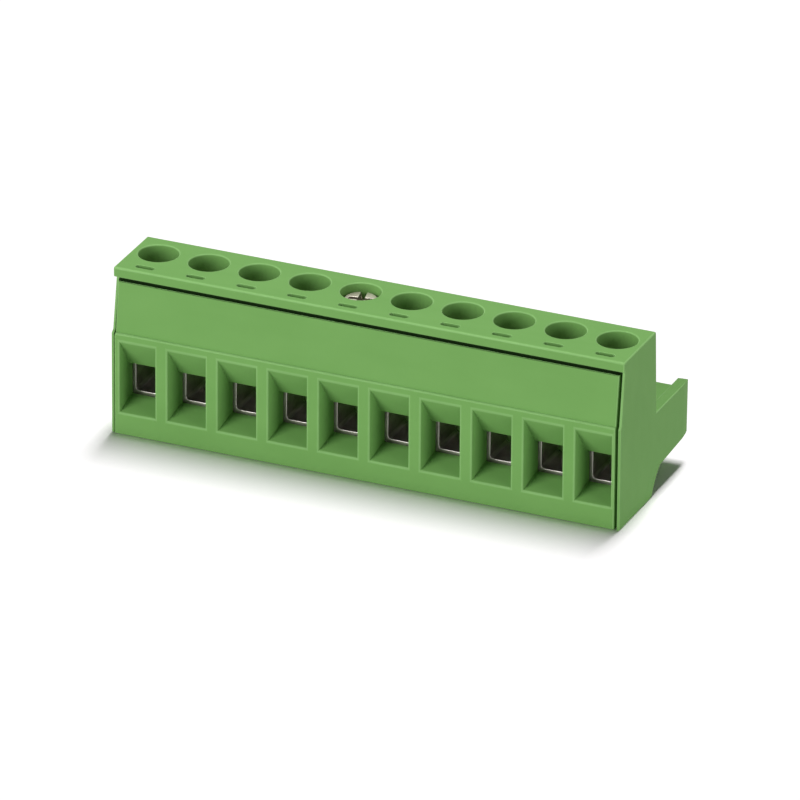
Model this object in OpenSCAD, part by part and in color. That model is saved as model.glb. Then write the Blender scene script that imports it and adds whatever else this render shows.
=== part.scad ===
// Pluggable screw terminal plug. A moulded housing carries, for each pole, a contact,
// a clamp cage that rises and the screw that lifts it. A cover with the wire funnels
// clips into the front. Lengths are in millimetres.
// Inside the modules x runs along the row of poles, y from the wire side to the header
// side and z up, with the front bottom corner of the first pole at the zero point.

/* [Row of poles] */
// Number of poles
poles = 10; // [2:1:18]
// Distance from one pole to the next
pitch = 5.08; // [5.08:0.02:6.4]

/* [Block] */
// Height of the block
block_h = 16.55; // [16:0.05:22]
// Depth of the block at its top
block_top_d = 8.2; // [7.95:0.05:10]
// How much deeper the block is where the plug-in portion starts
block_draft = 0.45; // [0:0.05:0.8]
// Depth of the foot at the very bottom
foot_d = 7.7; // [7.6:0.05:8.2]
// Height of the leaning foot at the back
foot_h = 1.6; // [1:0.05:1.9]
// How far the foot leans out over its height
foot_lean = 1.05; // [0.6:0.05:1.2]
// Height of the upright part of the front
front_upright_h = 10.45; // [10.3:0.05:11]
// How far the front leans back from there to the band
front_lean = 0.65; // [0.3:0.05:0.8]
// Height of the band above the cover
band_h = 0.96; // [0.7:0.02:1]
// Thickness of the side lips beside the cover
side_lip = 0.28; // [0.2:0.02:0.34]
// How far the lip at the first pole's end stands back beside the funnels
first_lip = 0.16; // [0:0.02:0.24]
// How far back its front is just above them
first_lip_high = 0.5; // [0.3:0.02:0.7]
// How far back the front of the other lip is there
last_lip_high = 0.2; // [0:0.02:0.4]
// Seam between the cover and the lip at the first pole's end
first_seam = 0.12; // [0.06:0.02:0.3]
// Seam between the cover and the lip at the last pole's end
last_seam = 0.28; // [0.1:0.02:0.34]
// Seam between the cover and the band
top_seam = 0.44; // [0.2:0.02:0.5]
// Radius of the outer long edges
edge_r = 0.2; // [0.1:0.05:0.3]

/* [Plug-in portion] */
// Length behind the block
plug_l = 7.8; // [7:0.1:9]
// Height of its flat top above the base
plug_top = 7.4; // [7.3:0.05:8]
// Height of its underside at the block
plug_under = 2.45; // [2.3:0.05:2.6]
// Length of the slope from the foot to the underside
under_l = 1.05; // [0.8:0.05:1.4]
// Rise of the underside from there to the end
plug_rise = 0.38; // [0:0.02:0.5]
// Height of the end rails above the flat top
rail_h = 0.86; // [0.4:0.02:1]
// Width of a rail at its top
rail_w = 1.1; // [0.8:0.05:1.4]
// Width of the slope on the inner side of a rail
rail_slope = 0.55; // [0.3:0.05:0.8]
// Fall of a rail's top towards its slope
rail_fall = 0.12; // [0:0.02:0.2]
// Slant at the low end of the plug-in portion
end_slant = 0.4; // [0.2:0.05:0.6]
// How much each side draws in towards that end
side_draw = 0.12; // [0.05:0.01:0.2]
// Length over which it draws in
side_draw_l = 1.5; // [1:0.1:2]
// Thickness of the end wall that the header pins pass
plug_end_wall = 1.25; // [1:0.05:1.6]
// Width of a pin opening inside
pin_hole_w = 1.5; // [1.2:0.05:1.6]
// Width of a pin opening at its mouth
pin_mouth_w = 2.3; // [2:0.05:2.6]
// Depth of the slants around a pin opening
pin_slant = 0.45; // [0.3:0.05:0.6]

/* [Screw holes and marks] */
// Diameter of a screw hole
hole_d = 3.8; // [3.7:0.05:4.2]
// Distance of the screw holes from the front
hole_y = 5.1; // [5:0.05:5.4]
// Length of the small slot in front of each screw hole
mark_l = 1.9; // [1:0.1:2.4]
// Width of that slot
mark_w = 0.62; // [0.4:0.02:0.7]
// Depth of that slot
mark_depth = 0.8; // [0.4:0.1:0.8]
// Distance of the slots from the front
mark_y = 1.75; // [1.7:0.05:1.8]
// Offset of each slot along the row from its pole
mark_shift = 0.18; // [0:0.02:0.3]

/* [Cover] */
// Depth of the cover's funnel section
cover_d = 2.95; // [2.7:0.05:3]
// Height of the cover's funnel section
ledge_h = 10.24; // [10:0.02:10.4]
// How far the panel stands back from the funnel section
ledge_back = 0.24; // [0.22:0.02:0.3]
// Radius along the edge of that ledge
ledge_r = 0.2; // [0.1:0.02:0.2]
// Distance of the panel's back from the front
panel_back = 1.32; // [1.2:0.02:1.36]
// Width of the cover beside the first funnel
first_rib = 0.47; // [0.3:0.01:0.5]
// Width of the cover beside the last funnel
last_rib = 0.36; // [0.3:0.02:0.5]
// Running gap behind the panel
panel_gap = 0.05; // [0.03:0.01:0.08]

/* [Wire funnels] */
// Width of a funnel at its mouth
mouth_w = 3.84; // [3.6:0.02:4]
// Height of the mouth's lower edge
mouth_low = 2.2; // [2:0.05:2.4]
// Height of the mouth's upper edge
mouth_high = 9.45; // [9:0.05:9.6]
// Width of the throat
throat_w = 3.34; // [3:0.02:3.5]
// Height of the throat's lower edge
throat_low = 2.95; // [2.8:0.05:3]
// Height of the throat's upper edge
throat_high = 6.4; // [6.3:0.05:6.8]
// Depth at which the funnel becomes the throat
funnel_d = 2.1; // [1.6:0.05:2.3]

/* [Cover clips] */
// Width of a clip tongue
clip_w = 1.6; // [1:0.1:2]
// Thickness of a clip tongue
clip_t = 0.8; // [0.6:0.05:1]
// Length of a clip tongue behind the cover
clip_l = 1.7; // [1.2:0.1:2]
// Height of a tongue's underside above the base
clip_z = 0.9; // [0.7:0.05:1]
// Drop of the hook below its tongue
hook_h = 0.2; // [0.1:0.05:0.3]
// Length of the hook along its tongue
hook_l = 0.6; // [0.4:0.05:0.8]
// Length of the hook's slanted nose
nose_l = 0.25; // [0.15:0.05:0.35]
// Gap around a tongue in its pocket
clip_gap = 0.05; // [0.03:0.01:0.08]

/* [Clamp cages] */
// Height of the floor that the cages rest over
floor_h = 2.65; // [2.6:0.05:2.8]
// Width of a cage
cage_w = 3.8; // [3.6:0.02:3.9]
// Length of a cage along the wire
cage_l = 4; // [3.8:0.02:4]
// Thickness of the cage's sheet
sheet = 0.5; // [0.4:0.02:0.55]
// Bend radius outside the cage's corners
cage_r = 0.6; // [0.56:0.02:0.7]
// Bend radius inside the cage's corners
cage_in_r = 0.3; // [0.2:0.02:0.4]
// Height of the tapped collar at the top of a cage
collar_h = 2; // [1.6:0.05:2.1]
// Diameter of the tapped hole, taken at the thread's outside
tapped_d = 2.62; // [2.4:0.02:2.66]
// Gap around a cage in its chamber
cage_gap = 0.08; // [0.05:0.01:0.1]
// Clear height for the wire when a clamp is fully open
wire_h = 2.9; // [2.7:0.05:3]
// Gap between the contact bar and a collar when a clamp is open
collar_gap = 0.15; // [0.1:0.01:0.2]

/* [Clamp screws] */
// Radial clearance of the thread in its tapped hole
thread_gap = 0.06; // [0.03:0.01:0.1]
// Rise of a cage in one turn of its screw
thread_lead = 0.45; // [0.35:0.05:0.45]
// Turns from fully open to fully closed
turns = 6; // [3:1:6]
// Radial clearance of a screw head in its hole
head_gap = 0.2; // [0.05:0.05:0.3]
// Height of a screw head
head_h = 2; // [1.4:0.05:2.1]
// Chamfer around the top of a head
head_chamfer = 0.25; // [0.1:0.05:0.3]
// Width of the screwdriver slot
slot_w = 0.6; // [0.5:0.05:0.8]
// Depth of the screwdriver slot
slot_depth = 0.9; // [0.6:0.05:1.1]
// Length of the cross arm over the slot
cross_l = 2.3; // [1.8:0.1:2.6]
// Width of the cross arm
cross_w = 0.5; // [0.4:0.05:0.7]
// Depth of the cross arm
cross_depth = 1.2; // [0.9:0.05:1.3]
// Gap between a screw's tip and the contact bar
tip_gap = 0.1; // [0.05:0.01:0.15]
// Diameter of the flat on a screw's tip
tip_d = 1.9; // [1.5:0.1:2.1]
// Length of the taper at a screw's tip
tip_taper = 0.35; // [0.2:0.05:0.5]
// Thickness of the shoulder that keeps the heads out of the chambers
shoulder_t = 0.4; // [0.3:0.05:0.5]
// Clearance between the shoulder and a head, and above a raised cage
shoulder_gap = 0.15; // [0.1:0.01:0.2]
// Radial clearance of a shank in the shoulder
shank_gap = 0.15; // [0.1:0.01:0.2]
// The pole whose screw stands backed out, or 0 for none
raised_pole = 5; // [0:1:18]
// Turns by which that screw is backed out
raised_turns = 3; // [1:1:3]

/* [Contacts] */
// Width of the contact bar in its cage
bar_w = 2.5; // [2.2:0.05:2.6]
// Thickness of the contact bar
bar_t = 0.8; // [0.6:0.05:0.85]
// Distance of the bar's front end behind the cage's front
bar_inset = 0.8; // [0.6:0.05:1]
// Width of the tunnel that a contact sits in
tunnel_w = 3.1; // [3:0.05:3.2]
// Gap above and below a contact in its tunnel
tunnel_gap = 0.1; // [0.06:0.01:0.12]
// Height of the spring leaves
leaf_h = 2.2; // [1.8:0.05:2.3]
// Thickness of the spring leaves
leaf_t = 0.4; // [0.3:0.02:0.45]
// Opening between the leaves where they grip a pin
grip_w = 0.86; // [0.7:0.02:0.95]
// Opening between the leaves at their flared ends
flare_w = 1.7; // [1.4:0.05:1.9]
// Overlap of the contact's shoulders with each tunnel wall
barb = 0.02; // [0.01:0.01:0.03]
// Length of those shoulders
shoulder_l = 0.9; // [0.6:0.1:1.2]
// Distance of the shoulders behind the cage chamber
shoulder_in = 0.4; // [0.2:0.05:0.6]
// Length of the straight root of each leaf behind the shoulders
root_l = 0.8; // [0.6:0.1:1.2]
// Distance of the leaves' ends from the end wall
leaf_end = 0.35; // [0.2:0.05:0.5]
// Length of the flare at the leaves' ends
flare_l = 1.55; // [1.2:0.05:1.8]

/* [Hidden] */
function two_digits(n) = n < 10 ? str("0", n) : str(n);
function names(kind) = [for (i = [1:poles]) str(kind, "_", two_digits(i))];
function pole_x(i) = pitch * (i - 0.5);
// A corner at p rounded to radius r, between the directions from and to (degrees)
function arc(p, r, from, to, steps = 4) =
    [for (k = [0:steps]) p + r * [cos(from + (to - from) * k / steps),
                                  sin(from + (to - from) * k / steps)]];
// A rectangle from corner a to corner b with round corners
function round_box(a, b, r) = concat(
    arc([b.x - r, b.y - r], r, 0, 90), arc([a.x + r, b.y - r], r, 90, 180),
    arc([a.x + r, a.y + r], r, 180, 270), arc([b.x - r, a.y + r], r, 270, 360));

$fn = 64;
over = 1;              // how far a cut runs past the face it opens
sink = 0.3;            // how far a joined piece reaches into what carries it
lap = 0.1;             // how far a cut or a piece laps the one that it joins

row_l = poles * pitch;
block_low_d = block_top_d + block_draft;
overall_d = block_low_d + plug_l;
band_z = block_h - band_h;
cover_top = band_z - top_seam;
foot_top_d = foot_d + foot_lean;
plug_end_low = plug_under + plug_rise;

// Heights, each worked out from the one below it
cage_z = floor_h + cage_gap;
cage_in_z = cage_z + sheet;
bar_z = cage_in_z + wire_h;
bar_top = bar_z + bar_t;
collar_z = bar_top + collar_gap;
cage_h = collar_z + collar_h - cage_z;
travel = turns * thread_lead;
ceiling = cage_z + cage_h + travel + shoulder_gap;
shoulder_z = ceiling + shoulder_t;
head_z = shoulder_z + shoulder_gap;
head_top = head_z + head_h;
tip_z = bar_top + tip_gap;

cage_y = hole_y - cage_l / 2;
bar_y = cage_y + bar_inset;
tunnel_y = cage_y + cage_l + cage_gap;
tunnel_end = overall_d - plug_end_wall;
tunnel_low = bar_top - leaf_h - bar_t - tunnel_gap;
tunnel_high = bar_top + tunnel_gap;
pin_z = (tunnel_low + tunnel_gap + bar_z) / 2;
upper_front = panel_back + panel_gap;
thread_d = tapped_d - 2 * thread_gap;
shank_hole_d = thread_d + 2 * shank_gap;
head_d = hole_d - 2 * head_gap;
cover_x = side_lip + first_seam;
cover_end_x = row_l - side_lip - last_seam;
GREEN = [0.40, 0.58, 0.30];
STEEL = [0.72, 0.72, 0.70];
NICKEL = [0.78, 0.77, 0.72];
TIN = [0.70, 0.70, 0.68];

module place() translate([-row_l / 2, -overall_d / 2, 0]) children();

// An outline drawn in y and z, run along x from x0 over the length len
module along_x(x0, len) translate([x0, 0, 0]) rotate([90, 0, 90]) linear_extrude(len) children();

// An outline drawn in x and z, run along y from y0 over the length len
module along_y(y0, len) translate([0, y0 + len, 0]) rotate([90, 0, 0]) linear_extrude(len) children();

module block(a, b) translate(a) cube(b - a);

// ---- housing ----

// Points of the back, from the foot up to the top
function back_points() = concat(
    [[foot_d, 0], [foot_top_d, foot_h], [block_low_d + under_l, plug_under],
     [overall_d - end_slant, plug_end_low], [overall_d, plug_end_low + end_slant / 3]],
    arc([overall_d - edge_r, plug_top - edge_r], edge_r, 0, 90),
    [[block_low_d, plug_top]],
    arc([block_top_d - edge_r, block_h - edge_r], edge_r, 0, 90));

module core_outline() polygon(concat(
    [[cover_d, 0]], back_points(),
    arc([front_lean + edge_r, block_h - edge_r], edge_r, 90, 180),
    [[front_lean, band_z], [upper_front, band_z],
     [upper_front, ledge_h + panel_gap], [cover_d, ledge_h + panel_gap]]));

// A lip beside the cover, with the distances of its front beside the funnels, just
// above them and under the band
module lip_outline(low, high, top) polygon(concat(
    [[low, 0], [cover_d + over, 0], [cover_d + over, block_h - edge_r]],
    arc([front_lean + edge_r, block_h - edge_r], edge_r, 90, 180),
    [[front_lean, band_z], [top, band_z], [high, ledge_h + lap], [low, ledge_h - lap]]));

module end_rail(x, side) intersection() {
    foot = x - side * (rail_w + rail_slope);
    along_y(block_low_d - sink, plug_l + sink) polygon([
        [x, plug_top - sink], [x, plug_top + rail_h],
        [x - side * rail_w, plug_top + rail_h - rail_fall], [foot, plug_top], [foot, plug_top - sink]]);
    along_x(min(x, foot) - over, abs(x - foot) + 2 * over) polygon(concat(
        [[block_low_d - sink - over, plug_top - sink - over], [overall_d, plug_top - sink - over]],
        arc([overall_d - edge_r, plug_top + rail_h - edge_r], edge_r, 0, 90),
        [[block_low_d - sink - over, plug_top + rail_h]]));
}

// The wedge by which a side draws in towards the end
module side_wedge() linear_extrude(block_h) polygon([
    [-over, overall_d - side_draw_l], [0, overall_d - side_draw_l], [side_draw, overall_d],
    [side_draw, overall_d + over], [-over, overall_d + over]]);

// A square opening that narrows from the end face to the inside
module pin_opening() {
    mouth = pin_mouth_w / 2;
    inner = pin_hole_w / 2;
    outline = [[-inner, tunnel_end - lap], [-inner, overall_d - pin_slant], [-mouth, overall_d],
               [-mouth, overall_d + over], [mouth, overall_d + over], [mouth, overall_d],
               [inner, overall_d - pin_slant], [inner, tunnel_end - lap]];
    intersection() {
        translate([0, 0, pin_z - mouth]) linear_extrude(2 * mouth) polygon(outline);
        along_x(-mouth, 2 * mouth) polygon([for (p = outline) [p.y, pin_z + p.x]]);
    }
}

// The small slot, with round ends
module mark() translate([mark_shift, mark_y, block_h - mark_depth]) {
    straight = (mark_l - mark_w) / 2;
    block([-straight, -mark_w / 2, 0], [straight, mark_w / 2, mark_depth + over]);
    for (side = [-1, 1]) translate([side * straight, 0, 0]) cylinder(d = mark_w, h = mark_depth + over);
}

// Everything cut from the housing for one pole
module pole_cuts() {
    half = cage_w / 2 + cage_gap;
    translate([0, hole_y, shoulder_z]) cylinder(d = hole_d, h = block_h - shoulder_z + over);
    translate([0, hole_y, ceiling - lap]) cylinder(d = shank_hole_d, h = shoulder_t + 2 * lap);
    block([-half, cover_d - over, floor_h], [half, tunnel_y, ledge_h]);
    block([-half, cage_y - cage_gap, ledge_h - lap], [half, tunnel_y, ceiling]);
    block([-tunnel_w / 2, tunnel_y - lap, tunnel_low], [tunnel_w / 2, tunnel_end, tunnel_high]);
    pin_opening();
    mark();
}

module clip(gap) {
    half = clip_w / 2 + gap;
    along_x(-half, 2 * half) polygon([
        [cover_d - sink, clip_z - gap], [cover_d + clip_l - hook_l - gap, clip_z - gap],
        [cover_d + clip_l - hook_l - gap, clip_z - hook_h - gap],
        [cover_d + clip_l + gap - nose_l, clip_z - hook_h - gap],
        [cover_d + clip_l + gap, clip_z + clip_t / 2], [cover_d + clip_l + gap, clip_z + clip_t + gap],
        [cover_d - sink, clip_z + clip_t + gap]]);
}

module clips(gap) for (i = [1:2:poles - 1]) translate([pole_x(i) + pitch / 2, 0, 0]) clip(gap);

module housing() color(GREEN) place() difference() {
    union() {
        along_x(0, row_l) core_outline();
        along_x(0, side_lip) lip_outline(first_lip, first_lip_high, upper_front);
        along_x(row_l - side_lip, side_lip) lip_outline(0, last_lip_high, front_lean + last_lip_high);
        end_rail(0, -1);
        end_rail(row_l, 1);
    }
    for (i = [1:poles]) translate([pole_x(i), 0, 0]) pole_cuts();
    side_wedge();
    translate([row_l, 0, 0]) mirror([1, 0, 0]) side_wedge();
    clips(clip_gap);
}

// ---- cover with the wire funnels ----

// How far the leaning front stands back at the height z
function lean_at(z) = front_lean * (z - front_upright_h) / (band_z - front_upright_h);

module cover_outline() polygon(concat(
    [[0, 0], [cover_d, 0], [cover_d, ledge_h], [panel_back, ledge_h], [panel_back, cover_top]],
    [[lean_at(cover_top) + ledge_back, cover_top], [ledge_back, ledge_h]],
    arc([ledge_r, ledge_h - ledge_r], ledge_r, 90, 180)));

// The funnel and throat of one pole, kept clear of the cover's ends
module funnel(x) {
    least = cover_x + first_rib;
    most = cover_end_x - last_rib;
    left = max(x - mouth_w / 2, least);
    right = min(x + mouth_w / 2, most);
    inner_left = max(x - throat_w / 2, least);
    inner_right = min(x + throat_w / 2, most);
    intersection() {
        translate([0, 0, mouth_low - over]) linear_extrude(mouth_high - mouth_low + 2 * over) polygon([
            [left, -over], [left, 0], [inner_left, funnel_d], [inner_left, cover_d + over],
            [inner_right, cover_d + over], [inner_right, funnel_d], [right, 0], [right, -over]]);
        along_x(x - pitch, 2 * pitch) polygon([
            [-over, mouth_low], [0, mouth_low], [funnel_d, throat_low], [cover_d + over, throat_low],
            [cover_d + over, throat_high], [funnel_d, throat_high], [0, mouth_high], [-over, mouth_high]]);
    }
}

module entry_cover() color(GREEN) place() {
    difference() {
        along_x(cover_x, cover_end_x - cover_x) cover_outline();
        for (i = [1:poles]) funnel(pole_x(i));
    }
    clips(0);
}

// ---- one clamp: screw, cage and contact ----

// Turn of each screw's slot, so that no two neighbours look alike
function slot_turn(i) = 101 + 67 * (i - 5);

// Half of a screw's section: tip, thread, head
module screw_outline() {
    polygon([[0, tip_z], [tip_d / 2, tip_z], [thread_d / 2, tip_z + tip_taper], [thread_d / 2, head_z],
             [head_d / 2, head_z], [head_d / 2, head_top - head_chamfer],
             [head_d / 2 - head_chamfer, head_top], [0, head_top]]);
}

module clamp_screw(i) color(STEEL) place() {
    lift = i == raised_pole ? raised_turns * thread_lead : 0;
    translate([pole_x(i), hole_y, lift]) difference() {
        rotate_extrude() screw_outline();
        rotate([0, 0, slot_turn(i)]) {
            block([-head_d, -slot_w / 2, head_top - slot_depth], [head_d, slot_w / 2, head_top + over]);
            block([-cross_w / 2, -cross_l / 2, head_top - cross_depth],
                  [cross_w / 2, cross_l / 2, head_top + over]);
        }
    }
}

module clamp_cage(i) color(NICKEL) place() translate([pole_x(i), 0, 0]) difference() {
    along_y(cage_y, cage_l) polygon(round_box([-cage_w / 2, cage_z], [cage_w / 2, cage_z + cage_h], cage_r));
    along_y(cage_y - over, cage_l + 2 * over) polygon(
        round_box([-cage_w / 2 + sheet, cage_in_z], [cage_w / 2 - sheet, collar_z], cage_in_r));
    translate([0, hole_y, collar_z - lap]) cylinder(d = tapped_d, h = collar_h + over);
}

// One spring leaf in plan, on the side given by 1 or -1
module leaf(side) {
    root = bar_w / 2;
    grip = grip_w / 2;
    flare = flare_w / 2;
    y0 = tunnel_y + shoulder_in;
    y1 = y0 + shoulder_l + root_l;
    y3 = tunnel_end - leaf_end;
    y2 = y3 - flare_l;
    translate([0, 0, bar_top - bar_t - leaf_h]) linear_extrude(leaf_h + lap) polygon([
        [side * root, y0], [side * root, y1], [side * (grip + leaf_t), y2], [side * (flare + leaf_t), y3],
        [side * flare, y3], [side * grip, y2], [side * (root - leaf_t), y1], [side * (root - leaf_t), y0]]);
}

module contact(i) color(TIN) place() translate([pole_x(i), 0, 0]) {
    shoulder = tunnel_w / 2 + barb;
    y0 = tunnel_y + shoulder_in;
    block([-bar_w / 2, bar_y, bar_z], [bar_w / 2, y0 + shoulder_l + root_l, bar_top]);
    block([-shoulder, y0, bar_z], [shoulder, y0 + shoulder_l, bar_top]);
    leaf(-1);
    leaf(1);
}

housing();
entry_cover();
for (i = [1:poles]) {
    clamp_screw(i);
    clamp_cage(i);
    contact(i);
}
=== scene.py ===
import math

import bmesh
import bpy
from mathutils import Matrix, Vector


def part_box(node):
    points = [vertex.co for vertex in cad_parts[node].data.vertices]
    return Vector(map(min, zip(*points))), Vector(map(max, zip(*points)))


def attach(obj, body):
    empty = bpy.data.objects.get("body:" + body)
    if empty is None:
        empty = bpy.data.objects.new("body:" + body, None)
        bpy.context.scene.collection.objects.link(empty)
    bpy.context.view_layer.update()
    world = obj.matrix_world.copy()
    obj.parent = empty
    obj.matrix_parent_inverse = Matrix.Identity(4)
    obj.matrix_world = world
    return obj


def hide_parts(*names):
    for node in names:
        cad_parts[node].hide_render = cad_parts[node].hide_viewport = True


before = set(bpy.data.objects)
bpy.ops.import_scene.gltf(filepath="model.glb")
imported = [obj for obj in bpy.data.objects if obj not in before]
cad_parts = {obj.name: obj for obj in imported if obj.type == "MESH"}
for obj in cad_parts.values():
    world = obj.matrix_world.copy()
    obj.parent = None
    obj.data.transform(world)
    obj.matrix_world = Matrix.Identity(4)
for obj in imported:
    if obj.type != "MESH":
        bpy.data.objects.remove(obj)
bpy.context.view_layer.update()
mm = 0.001      # in metres, as the frame is
toMm = 1000


def poleName(stem, number):
    return "%s_%02d" % (stem, number)


def centreOf(nodeName):
    low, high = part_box(nodeName)
    return (low + high) / 2


# the row's own measures, from the clamp cages, which stand centred under their screws
poles = sum(1 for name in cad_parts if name.startswith("clamp_cage_"))
firstPole = centreOf(poleName("clamp_cage", 1))
pitch = (centreOf(poleName("clamp_cage", poles)).x - firstPole.x) / (poles - 1)
housingBody = "housing_body"
print("frame loaded:", len(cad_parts), "nodes,", poles, "poles")


# camera

cameraView = {
    "azimuth": 23.344,      # degrees round the object, from straight in front towards +X
    "elevation": 25.285,
    "roll": 0.410,
    "distance": 1041.3 * mm,
    "lens": 510.2,
    "sensor": 36,
    "clip": (0.1, 20),
    "target": Vector((0, -0.225, 8)) * mm,
    "aimRight": 0.147 * mm,
    "aimDown": 2.89 * mm,
}


def outwardFrom(azimuth, elevation):
    turn, lift = math.radians(azimuth), math.radians(elevation)
    level = math.cos(lift)
    return Vector((math.sin(turn) * level, -math.cos(turn) * level, math.sin(lift)))


def makeCamera():
    backward = outwardFrom(cameraView["azimuth"], cameraView["elevation"])
    azimuth, roll = math.radians(cameraView["azimuth"]), math.radians(cameraView["roll"])
    level = Vector((math.cos(azimuth), math.sin(azimuth), 0))
    upright = backward.cross(level)
    right = level * math.cos(roll) + upright * math.sin(roll)
    up = upright * math.cos(roll) - level * math.sin(roll)
    data = bpy.data.cameras.new("camera")
    data.sensor_width = cameraView["sensor"]
    data.lens = cameraView["lens"]
    data.clip_start, data.clip_end = cameraView["clip"]
    camera = bpy.data.objects.new("camera", data)
    bpy.context.scene.collection.objects.link(camera)
    turned = camera.matrix_world.to_3x3()
    turned.col[0], turned.col[1], turned.col[2] = right, up, backward
    camera.matrix_world = turned.to_4x4()
    camera.location = (cameraView["target"] + backward * cameraView["distance"]
                       + right * cameraView["aimRight"] - up * cameraView["aimDown"])
    bpy.context.scene.camera = camera


makeCamera()
print("camera placed")


# small helpers for the node trees

def addNode(tree, kind, links=None, **settings):
    node = tree.nodes.new(kind)
    for key, value in settings.items():
        setattr(node, key, value)
    for key, value in (links or {}).items():
        if isinstance(value, bpy.types.NodeSocket):
            tree.links.new(value, node.inputs[key])
        else:
            node.inputs[key].default_value = value
    return node


def calc(tree, operation, first, second=0.0, third=0.0):
    node = addNode(tree, "ShaderNodeMath", {0: first, 1: second, 2: third}, operation=operation)
    return node.outputs[0]


def spread(tree, value, low, high, fromLow=0.3, fromHigh=0.7):
    node = addNode(tree, "ShaderNodeMapRange", {
        "Value": value, "From Min": fromLow, "From Max": fromHigh, "To Min": low, "To Max": high})
    return node.outputs[0]


def attributeOf(tree, name):
    return addNode(tree, "ShaderNodeAttribute", attribute_name=name).outputs["Fac"]


def clamped(tree, value):
    return calc(tree, "MINIMUM", calc(tree, "MAXIMUM", value, 0.0), 1.0)


def vectorOf(tree, **parts):
    return addNode(tree, "ShaderNodeCombineXYZ", parts).outputs[0]


def newTree(name, inputs):      # inputs: the name and the kind of each socket
    tree = bpy.data.node_groups.new(name, "GeometryNodeTree")
    tree.interface.new_socket("Geometry", in_out="OUTPUT", socket_type="NodeSocketGeometry")
    for socket, kind in inputs:
        tree.interface.new_socket(socket, in_out="INPUT", socket_type="NodeSocket" + kind)
    return tree, addNode(tree, "NodeGroupInput").outputs


def finishTree(tree, geometry, finish):
    real = addNode(tree, "GeometryNodeRealizeInstances", {"Geometry": geometry})
    coated = addNode(tree, "GeometryNodeSetMaterial", {
        "Geometry": real.outputs[0], "Material": finish})
    addNode(tree, "NodeGroupOutput", {"Geometry": coated.outputs[0]})


def setInputs(piece, tree, values):
    modifier = piece.modifiers.new("built", "NODES")
    modifier.node_group = tree
    for item in tree.interface.items_tree:
        if item.item_type == "SOCKET" and item.in_out == "INPUT" and item.name in values:
            modifier[item.identifier] = values[item.name]


# finishes

def newMaterial(name):
    material = bpy.data.materials.new(name)
    material.use_nodes = True
    tree = material.node_tree
    tree.nodes.clear()
    shader = addNode(tree, "ShaderNodeBsdfPrincipled")
    addNode(tree, "ShaderNodeOutputMaterial", {"Surface": shader.outputs[0]})
    coords = addNode(tree, "ShaderNodeTexCoord").outputs["Object"]
    return material, tree, shader, coords


def noiseAt(tree, coords, size, detail=2.0, stretch=(1, 1, 1)):
    mapped = addNode(tree, "ShaderNodeMapping", {
        "Vector": coords, "Scale": tuple(share / size for share in stretch)})
    noise = addNode(tree, "ShaderNodeTexNoise", {
        "Vector": mapped.outputs[0], "Scale": 1.0, "Detail": detail, "Roughness": 0.55})
    return noise.outputs["Fac"]


def mixColours(tree, factor, first, second):
    def filled(colour):
        return colour if isinstance(colour, bpy.types.NodeSocket) else (*colour, 1)
    node = addNode(tree, "ShaderNodeMix", {"Factor": factor, 6: filled(first), 7: filled(second)},
                   data_type="RGBA")
    return node.outputs[2]


polyamide = {
    "colour": (0.174, 0.366, 0.104),
    "shade": (0.160, 0.345, 0.095),      # in faint clouds and flow lines through the moulding
    "shadeFrom": (0.35, 0.65),      # the part of the noise over which the two colours change
    "edge": (0.300, 0.540, 0.210),      # painted highlight along the middle of the rounded edges
    "highlightShare": 0.50,
    "highlightLeast": 0.7,      # the least of that share, where the flow lines cross an edge
    "gapColour": (0.016, 0.040, 0.010),      # painted shade deep in the seam and the small slots
    "cloud": 7 * mm,
    "flow": 1.6 * mm,
    "flowStretch": (0.18, 1, 0.5),
    "grain": 0.09 * mm,
    "roughness": (0.42, 0.54),
    "edgeRoughness": 0.30,
    "specular": 0.03,
    "ior": 1.53,
    "bump": 0.22,
    "bumpHeight": 0.012 * mm,
}


def makePolyamide():
    material, tree, shader, coords = newMaterial("greenPolyamide")
    cloud = noiseAt(tree, coords, polyamide["cloud"], 3.0)
    flow = noiseAt(tree, coords, polyamide["flow"], 3.0, polyamide["flowStretch"])
    grain = noiseAt(tree, coords, polyamide["grain"])
    gathered = calc(tree, "MULTIPLY_ADD", flow, 0.5, calc(tree, "MULTIPLY", cloud, 0.5))
    shading = spread(tree, gathered, 0.0, 1.0, *polyamide["shadeFrom"])
    body = mixColours(tree, shading, polyamide["shade"], polyamide["colour"])
    rim = attributeOf(tree, "rim")
    share = polyamide["highlightShare"]
    # painted highlight: the middle of each rounding is mixed towards the lighter edge colour, less
    # where the flow lines cross it
    paintedHighlight = calc(tree, "MULTIPLY", rim, spread(tree, flow, polyamide["highlightLeast"] * share, share))
    gap = attributeOf(tree, "gap")
    surface = mixColours(tree, paintedHighlight, body, polyamide["edge"])
    # painted shade: faces deep in the seam and the small slots take the near-black colour
    darkened = mixColours(tree, gap, surface, polyamide["gapColour"])
    tree.links.new(darkened, shader.inputs["Base Color"])
    rough = spread(tree, grain, *polyamide["roughness"])
    alongRoundings = addNode(tree, "ShaderNodeMix", {
        "Factor": rim, 2: rough, 3: polyamide["edgeRoughness"]})
    tree.links.new(alongRoundings.outputs[0], shader.inputs["Roughness"])
    bump = addNode(tree, "ShaderNodeBump", {
        "Height": grain, "Strength": polyamide["bump"], "Distance": polyamide["bumpHeight"]})
    tree.links.new(bump.outputs[0], shader.inputs["Normal"])
    shader.inputs["IOR"].default_value = polyamide["ior"]
    shader.inputs["Specular IOR Level"].default_value = polyamide["specular"]
    return material


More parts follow.
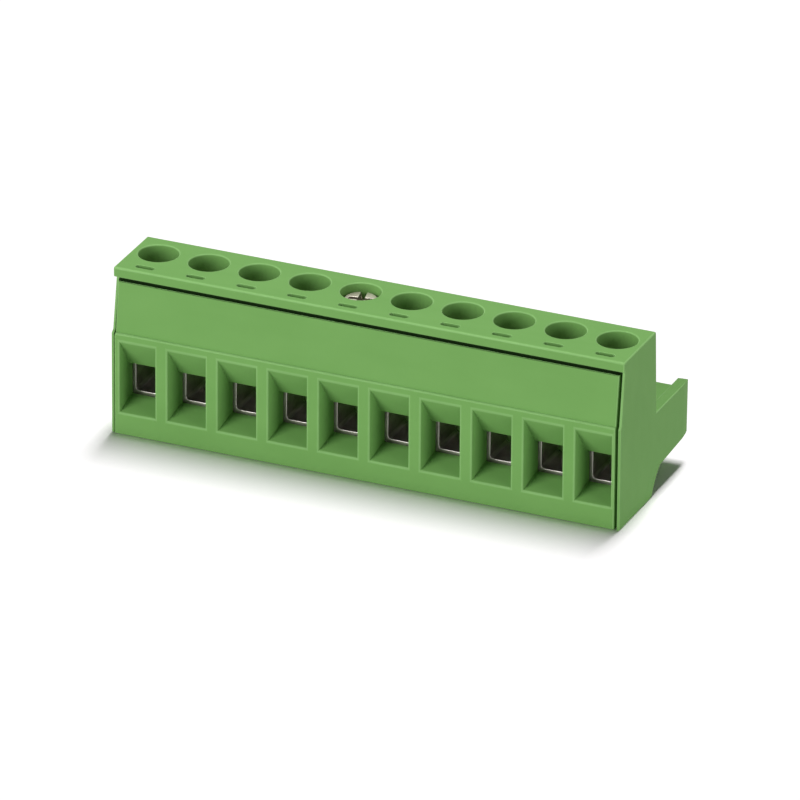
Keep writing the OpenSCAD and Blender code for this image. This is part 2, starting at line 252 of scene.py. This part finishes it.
def ringsRoundScrews(tree, coords, width):      # turned marks round each screw's own axis
    split = addNode(tree, "ShaderNodeSeparateXYZ", {0: coords})
    fromStart = calc(tree, "SUBTRACT", split.outputs["X"], firstPole.x - pitch / 2)
    along = calc(tree, "DIVIDE", fromStart, pitch)
    sideX = calc(tree, "MULTIPLY", calc(tree, "SUBTRACT", calc(tree, "FRACT", along), 0.5), pitch)
    sideY = calc(tree, "SUBTRACT", split.outputs["Y"], firstPole.y)
    squares = calc(tree, "MULTIPLY_ADD", sideX, sideX, calc(tree, "MULTIPLY", sideY, sideY))
    fromAxis = calc(tree, "SQRT", squares)
    return calc(tree, "SINE", calc(tree, "MULTIPLY", fromAxis, 2 * math.pi / width))


metal = {      # what all the platings share
    # how strongly the middle of each rounding takes the painted highlight
    "highlightShare": 0.6,
    "ringShare": 0.12,
    "bump": 0.25,
    "bumpHeight": 0.006 * mm,
}


def makeMetal(name, finish):
    material, tree, shader, coords = newMaterial(name)
    stain = noiseAt(tree, coords, finish["stain"], 3.0)
    tone = mixColours(tree, spread(tree, stain, 0.0, 1.0), finish["shade"], finish["colour"])
    # painted highlight: the middle of each rounding is mixed towards the plating's lighter edge
    # colour
    alongRoundings = calc(tree, "MULTIPLY", attributeOf(tree, "rim"), metal["highlightShare"])
    bright = mixColours(tree, alongRoundings, tone, finish["edge"])
    tree.links.new(bright, shader.inputs["Base Color"])
    grain = noiseAt(tree, coords, finish["grain"], 2.0, finish["stretch"])
    if "rings" in finish:
        rings = ringsRoundScrews(tree, coords, finish["rings"])
        grain = calc(tree, "MULTIPLY_ADD", rings, metal["ringShare"], grain)
    tree.links.new(spread(tree, grain, *finish["roughness"]), shader.inputs["Roughness"])
    bump = addNode(tree, "ShaderNodeBump", {
        "Height": grain, "Strength": metal["bump"], "Distance": metal["bumpHeight"]})
    tree.links.new(bump.outputs[0], shader.inputs["Normal"])
    shader.inputs["Metallic"].default_value = 1.0
    return material


# each plating's edge colour is a painted highlight for the middle of its roundings
zincPlate = {
    "colour": (0.56, 0.53, 0.44),
    "shade": (0.42, 0.39, 0.31),
    "edge": (0.56, 0.53, 0.46),
    "roughness": (0.34, 0.48),
    "stain": 1.4 * mm,
    "grain": 0.06 * mm,
    "stretch": (1, 1, 1),
    "rings": 0.07 * mm,
}
nickelPlate = {
    "colour": (0.60, 0.57, 0.52),
    "shade": (0.46, 0.43, 0.39),
    "edge": (0.74, 0.71, 0.66),
    "roughness": (0.28, 0.40),
    "stain": 1.4 * mm,
    "grain": 0.05 * mm,
    "stretch": (1, 0.15, 1),
}
tinPlate = {
    "colour": (0.55, 0.55, 0.53),
    "shade": (0.42, 0.42, 0.40),
    "edge": (0.66, 0.66, 0.64),
    "roughness": (0.38, 0.50),
    "stain": 1.0 * mm,
    "grain": 0.05 * mm,
    "stretch": (0.15, 1, 1),
}

greenPolyamide = makePolyamide()
zincSteel = makeMetal("zincPlatedSteel", zincPlate)
nickelSteel = makeMetal("nickelPlatedSteel", nickelPlate)
tinnedCopper = makeMetal("tinPlatedCopper", tinPlate)
print("finishes made")


# working on meshes, in millimetres and degrees

meshing = {
    "merge": 0.0005,
    "flat": 0.6,      # faces this close to one plane are joined
    "flatAfterCuts": 0.3,
    "onCut": 0.001,
    "madeStrip": 0.20,      # widest face of a rounding made here
    "cadStrip": 0.12,      # widest face of a rounding in the CAD shape
    "stripBend": 8,      # least bend between two faces of one rounding
    "faceWeight": 90,
}


def poleX(number):
    return (firstPole.x + (number - 1) * pitch) * toMm


def linkPiece(name, mesh):
    piece = bpy.data.objects.new(name, mesh)
    bpy.context.scene.collection.objects.link(piece)
    return piece


def bakeModifiers(piece):
    graph = bpy.context.evaluated_depsgraph_get()
    mesh = bpy.data.meshes.new_from_object(piece.evaluated_get(graph), depsgraph=graph)
    piece.modifiers.clear()
    piece.data = mesh


def onCut(edge, x):
    return all(abs(vert.co.x - x) < meshing["onCut"] for vert in edge.verts)


# A clean copy in mm: flat faces are joined, then cut across at the given places along the
# row, so that none of them is left with a hole in it
def mergedCopy(mesh, cutsX):
    bm = bmesh.new()
    bm.from_mesh(mesh)
    bmesh.ops.scale(bm, vec=(toMm, toMm, toMm), verts=bm.verts)
    bmesh.ops.remove_doubles(bm, verts=bm.verts, dist=meshing["merge"])
    bmesh.ops.dissolve_limit(bm, angle_limit=math.radians(meshing["flat"]), verts=bm.verts,
                             edges=bm.edges)
    for x in cutsX:
        bmesh.ops.bisect_plane(bm, geom=bm.verts[:] + bm.edges[:] + bm.faces[:],
                               dist=meshing["merge"], plane_co=(x, 0, 0), plane_no=(1, 0, 0))
    joinable = [edge for edge in bm.edges if not any(onCut(edge, x) for x in cutsX)]
    bmesh.ops.dissolve_limit(bm, angle_limit=math.radians(meshing["flatAfterCuts"]),
                             verts=bm.verts, edges=joinable)
    return bm


def bendOf(edge):      # above zero where the edge stands out
    return math.degrees(edge.calc_face_angle_signed(0)) if len(edge.link_faces) == 2 else 0.0


# A face of a rounding, narrow for its length. Those made here have the second material.
def isStrip(face):
    width = face.calc_area() / max(edge.calc_length() for edge in face.edges)
    return width < meshing["madeStrip" if face.material_index == 1 else "cadStrip"]


# Rounds the convex edges: radiusAt gives an edge's radius in mm from its two ends. The middle of
# every rounding is written to the attribute "rim", which the finishes read for a painted highlight
# and a smoother roughness.
def roundEdges(bm, name, radiusAt, segments=3, sharpFrom=30):
    edgeFloats = bm.edges.layers.float
    weights = edgeFloats.get("bevel_weight_edge") or edgeFloats.new("bevel_weight_edge")
    radii = {}
    for edge in bm.edges:
        if bendOf(edge) > sharpFrom:
            radii[edge] = radiusAt(edge.verts[0].co, edge.verts[1].co)
    largest = max(radii.values())
    for edge, radius in radii.items():
        edge[weights] = radius / largest
    mesh = bpy.data.meshes.new(name)
    bm.to_mesh(mesh)
    bm.free()
    for material in (greenPolyamide, greenPolyamide):      # the second only marks new faces
        mesh.materials.append(material)
    piece = linkPiece(name, mesh)
    bevel = piece.modifiers.new("rounded", "BEVEL")
    bevel.limit_method = "WEIGHT"
    bevel.width = largest
    bevel.segments = segments
    bevel.material = 1
    bevel.use_clamp_overlap = False
    bakeModifiers(piece)
    rounded = bmesh.new()
    rounded.from_mesh(piece.data)
    rim = rounded.loops.layers.float.new("rim")
    strips = {face for face in rounded.faces if isStrip(face)}
    for face in strips:
        for loop in face.loops:
            loop[rim] = float(any(
                bendOf(edge) > meshing["stripBend"] and strips.issuperset(edge.link_faces)
                for edge in loop.vert.link_edges))
    bpy.data.objects.remove(piece)
    return rounded


def finishMesh(bm, name, material, smoothBelow=35):
    bmesh.ops.scale(bm, vec=(mm, mm, mm), verts=bm.verts)
    for face in bm.faces:
        face.smooth = True
        face.material_index = 0
    for edge in bm.edges:
        shared = len(edge.link_faces) == 2
        edge.smooth = shared and math.degrees(edge.calc_face_angle(0)) < smoothBelow
    mesh = bpy.data.meshes.new(name)
    bm.to_mesh(mesh)
    bm.free()
    piece = linkPiece(name, mesh)
    weighted = piece.modifiers.new("weighted", "WEIGHTED_NORMAL")
    weighted.keep_sharp = True
    weighted.weight = meshing["faceWeight"]
    bakeModifiers(piece)
    piece.data.materials.clear()
    piece.data.materials.append(material)
    return piece


def dress(piece, body, slot, *nodes):
    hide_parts(*nodes)
    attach(piece, body)


# the two mouldings

housingEdges = {
    "outer": 0.14,      # radii in mm
    "lip": 0.08,
    "holeRim": 0.15,
    "mark": 0.05,
    "small": 0.05,
    "railEnd": 0.0,      # its roundings are in the CAD shape
    "holeRadius": 1.90,      # where those edges are, in mm
    "holeReach": 0.05,
    "marksFrom": 0.5,      # from either end of the top
    "lipReach": 1.0,      # behind the front
    "lipBelow": 1.2,      # under the top
    "railFoot": 7.0,
    "railReach": 1.7,
    "railEndReach": 1.8,
    "backReach": 0.3,
}
coverEdges = {
    "mouth": 0.22,      # radii in mm
    "firstEnd": 0.04,
    "outer": 0.12,
    "top": 0.08,
    "small": 0.05,
    "outerReach": 1.0,      # behind the front
}
boxLow, boxHigh = (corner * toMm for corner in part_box("housing"))
coverLow, coverHigh = (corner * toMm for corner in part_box("entry_cover"))
holesY = firstPole.y * toMm


def near(value, wanted, reach=0.02):
    return abs(value - wanted) < reach


def housingRadius(first, second):
    edges = housingEdges
    middle = (first + second) / 2
    fromSide = min(middle.x - boxLow.x, boxHigh.x - middle.x)
    if near(first.z, boxHigh.z) and near(second.z, boxHigh.z):
        across = min((middle.x - poleX(number) for number in range(1, poles + 1)), key=abs)
        if near(math.hypot(across, middle.y - holesY), edges["holeRadius"], edges["holeReach"]):
            return edges["holeRim"]
        return edges["mark" if fromSide > edges["marksFrom"] and middle.y < holesY else "outer"]
    if middle.y < boxLow.y + edges["lipReach"] and middle.z < boxHigh.z - edges["lipBelow"]:
        return edges["lip"]
    nearBack = middle.y > boxHigh.y - edges["railEndReach"] and middle.z > edges["railFoot"]
    if nearBack and fromSide < edges["railReach"]:
        return edges["railEnd"]
    atEnd = any(near(first.x, side) and near(second.x, side) for side in (boxLow.x, boxHigh.x))
    return edges["outer" if atEnd or middle.y > boxHigh.y - edges["backReach"] else "small"]


def coverRadius(first, second):
    middle = (first + second) / 2
    if near(first.z, coverHigh.z) and near(second.z, coverHigh.z):
        return coverEdges["top"]
    if not (near(first.y, coverLow.y) and near(second.y, coverLow.y)):
        return coverEdges["small" if middle.y > coverLow.y + coverEdges["outerReach"] else "outer"]
    if near(middle.x, coverLow.x):
        return coverEdges["firstEnd"]
    atBorder = near(middle.x, coverHigh.x) or near(middle.z, coverLow.z)
    return coverEdges["outer" if atBorder else "mouth"]


gaps = {      # in mm, where an inner face lies deep in the seam or in one of the small slots and gets painted shade
    "seamBehind": (0.75, 1.5),      # behind the front
    "seamHeights": (10, 15.5),
    "slotHeights": (15.7, 15.8),
    "lips": 0.35,      # the fronts of the side lips stay out of it
    "facing": 0.9,
}


def between(value, limits):
    return limits[0] < value < limits[1]


# whether a face lies deep in the seam or a small slot, where shade is painted
def inGap(face):
    middle = face.calc_center_median()
    facesFront = face.normal.y < -gaps["facing"]
    facesUp = face.normal.z > gaps["facing"]
    inSeam = (between(middle.y - boxLow.y, gaps["seamBehind"])
              and between(middle.z, gaps["seamHeights"])
              and boxLow.x + gaps["lips"] < middle.x < boxHigh.x - gaps["lips"])
    inSlot = between(middle.z, gaps["slotHeights"])
    return (inSeam and (facesFront or facesUp)) or (inSlot and facesUp)


halfPitches = [boxLow.x + k * pitch * toMm / 2 for k in range(1, 2 * poles)]
for nodeName, pieceName, radiusAt in (("housing", "housingShell", housingRadius),
                                      ("entry_cover", "entryCover", coverRadius)):
    bm = roundEdges(mergedCopy(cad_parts[nodeName].data, halfPitches), pieceName, radiusAt)
    # marks the faces that get painted shade in the seam and the small slots
    gapLayer = bm.faces.layers.float.new("gap")
    for face in bm.faces:
        face[gapLayer] = float(inGap(face))
    piece = finishMesh(bm, pieceName, greenPolyamide)
    dress(piece, housingBody, "green_polyamide", nodeName)
print("mouldings done")


# clamp screws: a threaded stem and a head with a slot and a cross arm

screw = {      # the tree's inputs, in mm
    "Thread Radius": 1.25,
    "Root Radius": 1.02,
    "Lead": 0.45,
    "Tip Radius": 0.95,
    "Taper": 0.35,
    "Head Radius": 1.70,
    "Head Height": 2.0,
    "Chamfer": 0.25,
    "Slot Width": 0.6,
    "Slot Depth": 0.9,
    "Cross Width": 0.5,
    "Cross Length": 2.3,
    "Cross Depth": 1.2,
}
screwMesh = {      # lengths in mm
    "around": 32,
    "rowsPerTurn": 9,
    "crestGain": 1.3,      # these two cut the thread's wave off flat at its crests and roots
    "crestShift": -0.15,
    "merge": 0.001,
    "edge": 0.05,
    "footReach": 0.01,
    "edgeFrom": 50,      # degrees: the flanks of the thread stay smooth
    "turned": 5,      # the screw whose slot is turned by slotTurn degrees
    "slotTurn": 101,
    "slotStep": 67,      # from one screw to the next
}


# A surface turned round the z axis: rows of points whose radius and height are sockets
def turnedSurface(tree, around, rows, makeProfile):
    grid = addNode(tree, "GeometryNodeMeshGrid", {
        "Size X": 1.0, "Size Y": 1.0, "Vertices X": around + 1, "Vertices Y": rows})
    position = addNode(tree, "GeometryNodeInputPosition").outputs[0]
    place = addNode(tree, "ShaderNodeSeparateXYZ", {0: position}).outputs
    turn = calc(tree, "ADD", place["X"], 0.5)
    upGrid = calc(tree, "ADD", place["Y"], 0.5)
    rowNumber = calc(tree, "ROUND", calc(tree, "MULTIPLY", upGrid, rows - 1))
    radius, height = makeProfile(turn, rowNumber)
    angle = calc(tree, "MULTIPLY", turn, 2 * math.pi)
    point = vectorOf(tree, X=calc(tree, "MULTIPLY", radius, calc(tree, "COSINE", angle)),
                     Y=calc(tree, "MULTIPLY", radius, calc(tree, "SINE", angle)), Z=height)
    moved = addNode(tree, "GeometryNodeSetPosition", {
        "Geometry": grid.outputs["Mesh"], "Position": point})
    return addNode(tree, "GeometryNodeMergeByDistance", {
        "Geometry": moved.outputs[0], "Distance": screwMesh["merge"]}).outputs[0]


def makeScrewTree(rows):
    lengths = [(name, "Float") for name in ("Length", "Slot Turn", *screw)]
    tree, size = newTree("clampScrew", [("Axis Foot", "Vector"), *lengths, ("Finish", "Material")])
    halfHead = calc(tree, "MULTIPLY", size["Head Height"], 0.5)
    stemTop = calc(tree, "SUBTRACT", size["Length"], halfHead)
    headFoot = calc(tree, "SUBTRACT", size["Length"], size["Head Height"])

    def stemProfile(turn, rowNumber):      # the first and last rows close the ends at the axis
        share = calc(tree, "DIVIDE", calc(tree, "SUBTRACT", rowNumber, 1.0), rows - 3)
        height = calc(tree, "MULTIPLY", clamped(tree, share), stemTop)
        turns = calc(tree, "DIVIDE", height, size["Lead"])
        phase = calc(tree, "FRACT", calc(tree, "SUBTRACT", turns, turn))
        fromRoot = calc(tree, "ABSOLUTE", calc(tree, "MULTIPLY_ADD", phase, 2.0, -1.0))
        crest = clamped(tree, calc(tree, "MULTIPLY_ADD", fromRoot, screwMesh["crestGain"],
                                   screwMesh["crestShift"]))
        depth = calc(tree, "SUBTRACT", size["Thread Radius"], size["Root Radius"])
        threaded = calc(tree, "MULTIPLY_ADD", depth, crest, size["Root Radius"])
        widened = calc(tree, "SUBTRACT", size["Thread Radius"], size["Tip Radius"])
        slope = calc(tree, "DIVIDE", widened, size["Taper"])
        tapered = calc(tree, "MULTIPLY_ADD", slope, height, size["Tip Radius"])
        middleRow = (rows - 1) / 2
        fromMiddle = calc(tree, "ABSOLUTE", calc(tree, "SUBTRACT", rowNumber, middleRow))
        inRow = calc(tree, "LESS_THAN", fromMiddle, middleRow - 0.5)
        return calc(tree, "MULTIPLY", calc(tree, "MINIMUM", threaded, tapered), inRow), height

    nearRim = calc(tree, "SUBTRACT", size["Head Radius"], size["Chamfer"])
    nearTop = calc(tree, "SUBTRACT", size["Length"], size["Chamfer"])
    headRadii = (0.0, size["Head Radius"], size["Head Radius"], nearRim, 0.0)
    headHeights = (headFoot, headFoot, nearTop, size["Length"], size["Length"])

    def headProfile(turn, rowNumber):
        picks = []
        for values in (headRadii, headHeights):
            pick = addNode(tree, "GeometryNodeIndexSwitch", data_type="FLOAT")
            while len(pick.index_switch_items) < len(values):
                pick.index_switch_items.new()
            tree.links.new(rowNumber, pick.inputs["Index"])
            for k, value in enumerate(values):
                if isinstance(value, bpy.types.NodeSocket):
                    tree.links.new(value, pick.inputs[str(k)])
                else:
                    pick.inputs[str(k)].default_value = value
            picks.append(pick.outputs[0])
        return picks

    stem = turnedSurface(tree, screwMesh["around"], rows, stemProfile)
    head = turnedSurface(tree, screwMesh["around"] * 2, len(headRadii), headProfile)
    solid = addNode(tree, "GeometryNodeMeshBoolean", operation="UNION")
    for part in (head, stem):
        tree.links.new(part, solid.inputs["Mesh 2"])

    def recess(width, length, depth):      # a bar across the head, sunk by its depth
        twice = calc(tree, "MULTIPLY", depth, 2.0)
        bar = addNode(tree, "GeometryNodeMeshCube", {
            "Size": vectorOf(tree, X=width, Y=length, Z=twice)})
        return addNode(tree, "GeometryNodeTransform", {
            "Geometry": bar.outputs["Mesh"],
            "Translation": vectorOf(tree, Z=size["Length"])}).outputs[0]

    cut = addNode(tree, "GeometryNodeMeshBoolean", {"Mesh 1": solid.outputs["Mesh"]},
                  operation="DIFFERENCE")
    acrossHead = calc(tree, "MULTIPLY", size["Head Radius"], 3.0)
    for width, length, depth in ((acrossHead, size["Slot Width"], size["Slot Depth"]),
                                 (size["Cross Width"], size["Cross Length"], size["Cross Depth"])):
        tree.links.new(recess(width, length, depth), cut.inputs["Mesh 2"])
    turned = addNode(tree, "GeometryNodeTransform", {
        "Geometry": cut.outputs["Mesh"], "Translation": size["Axis Foot"],
        "Rotation": vectorOf(tree, Z=size["Slot Turn"])})
    finishTree(tree, turned.outputs[0], size["Finish"])
    return tree


def headEdge(foot):
    def radiusAt(first, second):
        return screwMesh["edge"] if min(first.z, second.z) > foot - screwMesh["footReach"] else 0.0
    return radiusAt


screwLow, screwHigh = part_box(poleName("clamp_screw", 1))
screwLength = (screwHigh.z - screwLow.z) * toMm
screwRows = round(screwLength / screw["Lead"] * screwMesh["rowsPerTurn"])
screwTree = makeScrewTree(screwRows)
for number in range(1, poles + 1):
    low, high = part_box(poleName("clamp_screw", number))
    turn = screwMesh["slotTurn"] + screwMesh["slotStep"] * (number - screwMesh["turned"])
    piece = linkPiece(poleName("screwForm", number), bpy.data.meshes.new("screwForm"))
    setInputs(piece, screwTree, {
        **screw, "Length": screwLength, "Slot Turn": math.radians(turn % 180), "Finish": zincSteel,
        "Axis Foot": (poleX(number), holesY, low.z * toMm)})
    bakeModifiers(piece)
    piece.data.transform(Matrix.Scale(mm, 4))
    bm = roundEdges(mergedCopy(piece.data, [poleX(number)]), "screwEdges",
                    headEdge(high.z * toMm - screw["Head Height"]), 2, screwMesh["edgeFrom"])
    bpy.data.objects.remove(piece)
    finished = finishMesh(bm, poleName("clampScrew", number), zincSteel, screwMesh["edgeFrom"])
    dress(finished, poleName("screw", number), "zinc_plated_steel", poleName("clamp_screw", number))
print("screws done,", screwRows, "rows each")


# clamp cages

cage = {"edge": 0.06}      # mm


def cageRadius(first, second):
    return cage["edge"]


for number in range(1, poles + 1):
    nodeName = poleName("clamp_cage", number)
    clean = mergedCopy(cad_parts[nodeName].data, [centreOf(nodeName).x * toMm])
    bm = roundEdges(clean, nodeName, cageRadius, 2)
    finished = finishMesh(bm, poleName("clampCage", number), nickelSteel)
    dress(finished, poleName("cage", number), "nickel_plated_steel", nodeName)
print("cages done")


# contacts: one finished contact, repeated along the row

contact = {"edge": 0.05}      # mm


def contactRadius(first, second):
    return contact["edge"]


def makeRowTree():
    tree, size = newTree("alongRow", [("One", "Geometry"), ("Count", "Int"), ("Spacing", "Float"),
                                      ("Finish", "Material")])
    line = addNode(tree, "GeometryNodeMeshLine", {
        "Count": size["Count"], "Offset": vectorOf(tree, X=size["Spacing"])})
    copies = addNode(tree, "GeometryNodeInstanceOnPoints", {
        "Points": line.outputs[0], "Instance": size["One"]})
    finishTree(tree, copies.outputs[0], size["Finish"])
    return tree


clean = mergedCopy(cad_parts[poleName("contact", 1)].data, [])
contacts = finishMesh(roundEdges(clean, "contactEdges", contactRadius, 2), "contacts", tinnedCopper)
setInputs(contacts, makeRowTree(), {"Count": poles, "Spacing": pitch, "Finish": tinnedCopper})
bakeModifiers(contacts)
contactNodes = [poleName("contact", number) for number in range(1, poles + 1)]
dress(contacts, housingBody, "tin_plated_copper_alloy", *contactNodes)
print("contacts done")


# floor, world and lights

studio = {
    "floorSize": 3.0,
    "floorColour": (0.80, 0.80, 0.80),
    "floorSeen": (1.32, 1.27, 1.32),      # what the camera meets: white where the floor is lit
    "ambient": 0.09,
}
# levels are for a white surface that faces the lamp; the fills leave the floor's shadow alone
softboxes = {
    "overhead": {"azimuth": 180, "elevation": 76, "distance": 2.0, "size": (0.30, 0.90),
                 "level": 0.79, "onFloor": True},
    "frontLeft": {"azimuth": -30, "elevation": 20, "distance": 0.70, "size": (0.40, 0.40),
                  "level": 0.82, "onFloor": False},
    "right": {"azimuth": 72, "elevation": 8, "distance": 0.70, "size": (0.30, 0.30),
              "level": 0.42, "onFloor": False},
}


def seenDirectly(tree):      # camera, glossy and transmission rays meet the white surroundings
    rays = addNode(tree, "ShaderNodeLightPath").outputs
    return calc(tree, "MAXIMUM", rays["Is Camera Ray"],
                calc(tree, "MAXIMUM", rays["Is Glossy Ray"], rays["Is Transmission Ray"]))


def makeFloor():
    bm = bmesh.new()
    bmesh.ops.create_grid(bm, x_segments=1, y_segments=1, size=studio["floorSize"] / 2)
    mesh = bpy.data.meshes.new("floor")
    bm.to_mesh(mesh)
    bm.free()
    floor = linkPiece("floor", mesh)
    material = bpy.data.materials.new("paleFloor")
    material.use_nodes = True
    tree = material.node_tree
    tree.nodes.clear()
    matt = addNode(tree, "ShaderNodeBsdfDiffuse", {"Color": (*studio["floorColour"], 1)})
    white = addNode(tree, "ShaderNodeBsdfDiffuse", {"Color": (*studio["floorSeen"], 1)})
    mixed = addNode(tree, "ShaderNodeMixShader", {
        0: seenDirectly(tree), 1: matt.outputs[0], 2: white.outputs[0]})
    addNode(tree, "ShaderNodeOutputMaterial", {"Surface": mixed.outputs[0]})
    mesh.materials.append(material)
    return floor


def makeWorld():
    world = bpy.data.worlds.new("studio")
    bpy.context.scene.world = world
    world.use_nodes = True
    tree = world.node_tree
    tree.nodes.clear()
    soft, white = (addNode(tree, "ShaderNodeBackground", {
        "Color": (1, 1, 1, 1), "Strength": strength}) for strength in (studio["ambient"], 1.0))
    mixed = addNode(tree, "ShaderNodeMixShader", {
        0: seenDirectly(tree), 1: soft.outputs[0], 2: white.outputs[0]})
    addNode(tree, "ShaderNodeOutputWorld", {"Surface": mixed.outputs[0]})


def makeSoftbox(name, box, offFloor):
    data = bpy.data.lights.new(name, "AREA")
    data.shape = "RECTANGLE"
    data.size, data.size_y = box["size"]
    data.energy = box["level"] * (math.pi * box["distance"]) ** 2
    away = outwardFrom(box["azimuth"], box["elevation"])
    light = bpy.data.objects.new(name, data)
    bpy.context.scene.collection.objects.link(light)
    light.location = cameraView["target"] + away * box["distance"]
    light.rotation_mode = "QUATERNION"
    light.rotation_quaternion = away.to_track_quat("Z", "Y")
    if not box["onFloor"]:
        light.light_linking.receiver_collection = offFloor


floor = makeFloor()
makeWorld()
offFloor = bpy.data.collections.new("offFloor")
offFloor.objects.link(floor)
offFloor.collection_objects[0].light_linking.link_state = "EXCLUDE"
for name, box in softboxes.items():
    makeSoftbox(name, box, offFloor)
bpy.context.scene.view_settings.view_transform = "Standard"
print("studio set")
